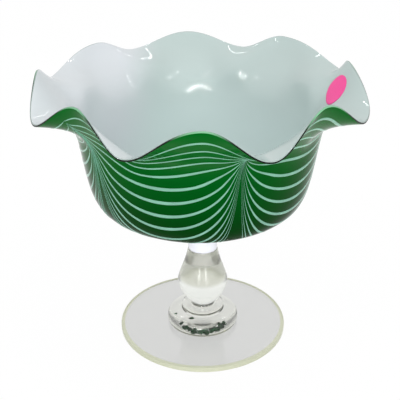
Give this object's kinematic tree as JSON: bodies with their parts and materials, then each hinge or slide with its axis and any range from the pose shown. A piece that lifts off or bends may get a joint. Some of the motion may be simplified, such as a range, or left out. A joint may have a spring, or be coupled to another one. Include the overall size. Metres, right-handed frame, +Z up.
{
  "type": "footed compote bowl",
  "caption": "Footed glass compote with a ruffled rim: green-cased opal bowl with pulled looped trails, on an opal neck, clear baluster stem, collar, pad and round foot.",
  "frame": {"origin": "on the table, under the middle of the bowl's bounding box; the foot's axis is 2 mm towards +X", "axes": "+Z up, -Y towards the front of the picture, +X to its right"},
  "size_m": [0.179, 0.1892, 0.1711],
  "materials": {
    "clear_glass": "polished, faint yellow-green tint",
    "neck_glass": "polished, milky lavender white",
    "green_glass": "glossy, deep green over opal",
    "opal_glass": "glossy, pale aqua grey, faintly iridescent",
    "trail_glass": "glossy, pale aqua green",
    "sticker_paper": "matt fluorescent pink, blank"
  },
  "bodies": {
    "root": {"foot_disc": "clear_glass", "foot_pad": "clear_glass", "stem_collar": "clear_glass", "stem": "clear_glass", "opal_neck": "neck_glass", "green_casing": "green_glass", "opal_lining": "opal_glass", "pulled_trails": "trail_glass", "price_sticker": "sticker_paper"}
  },
  "joints": []
}
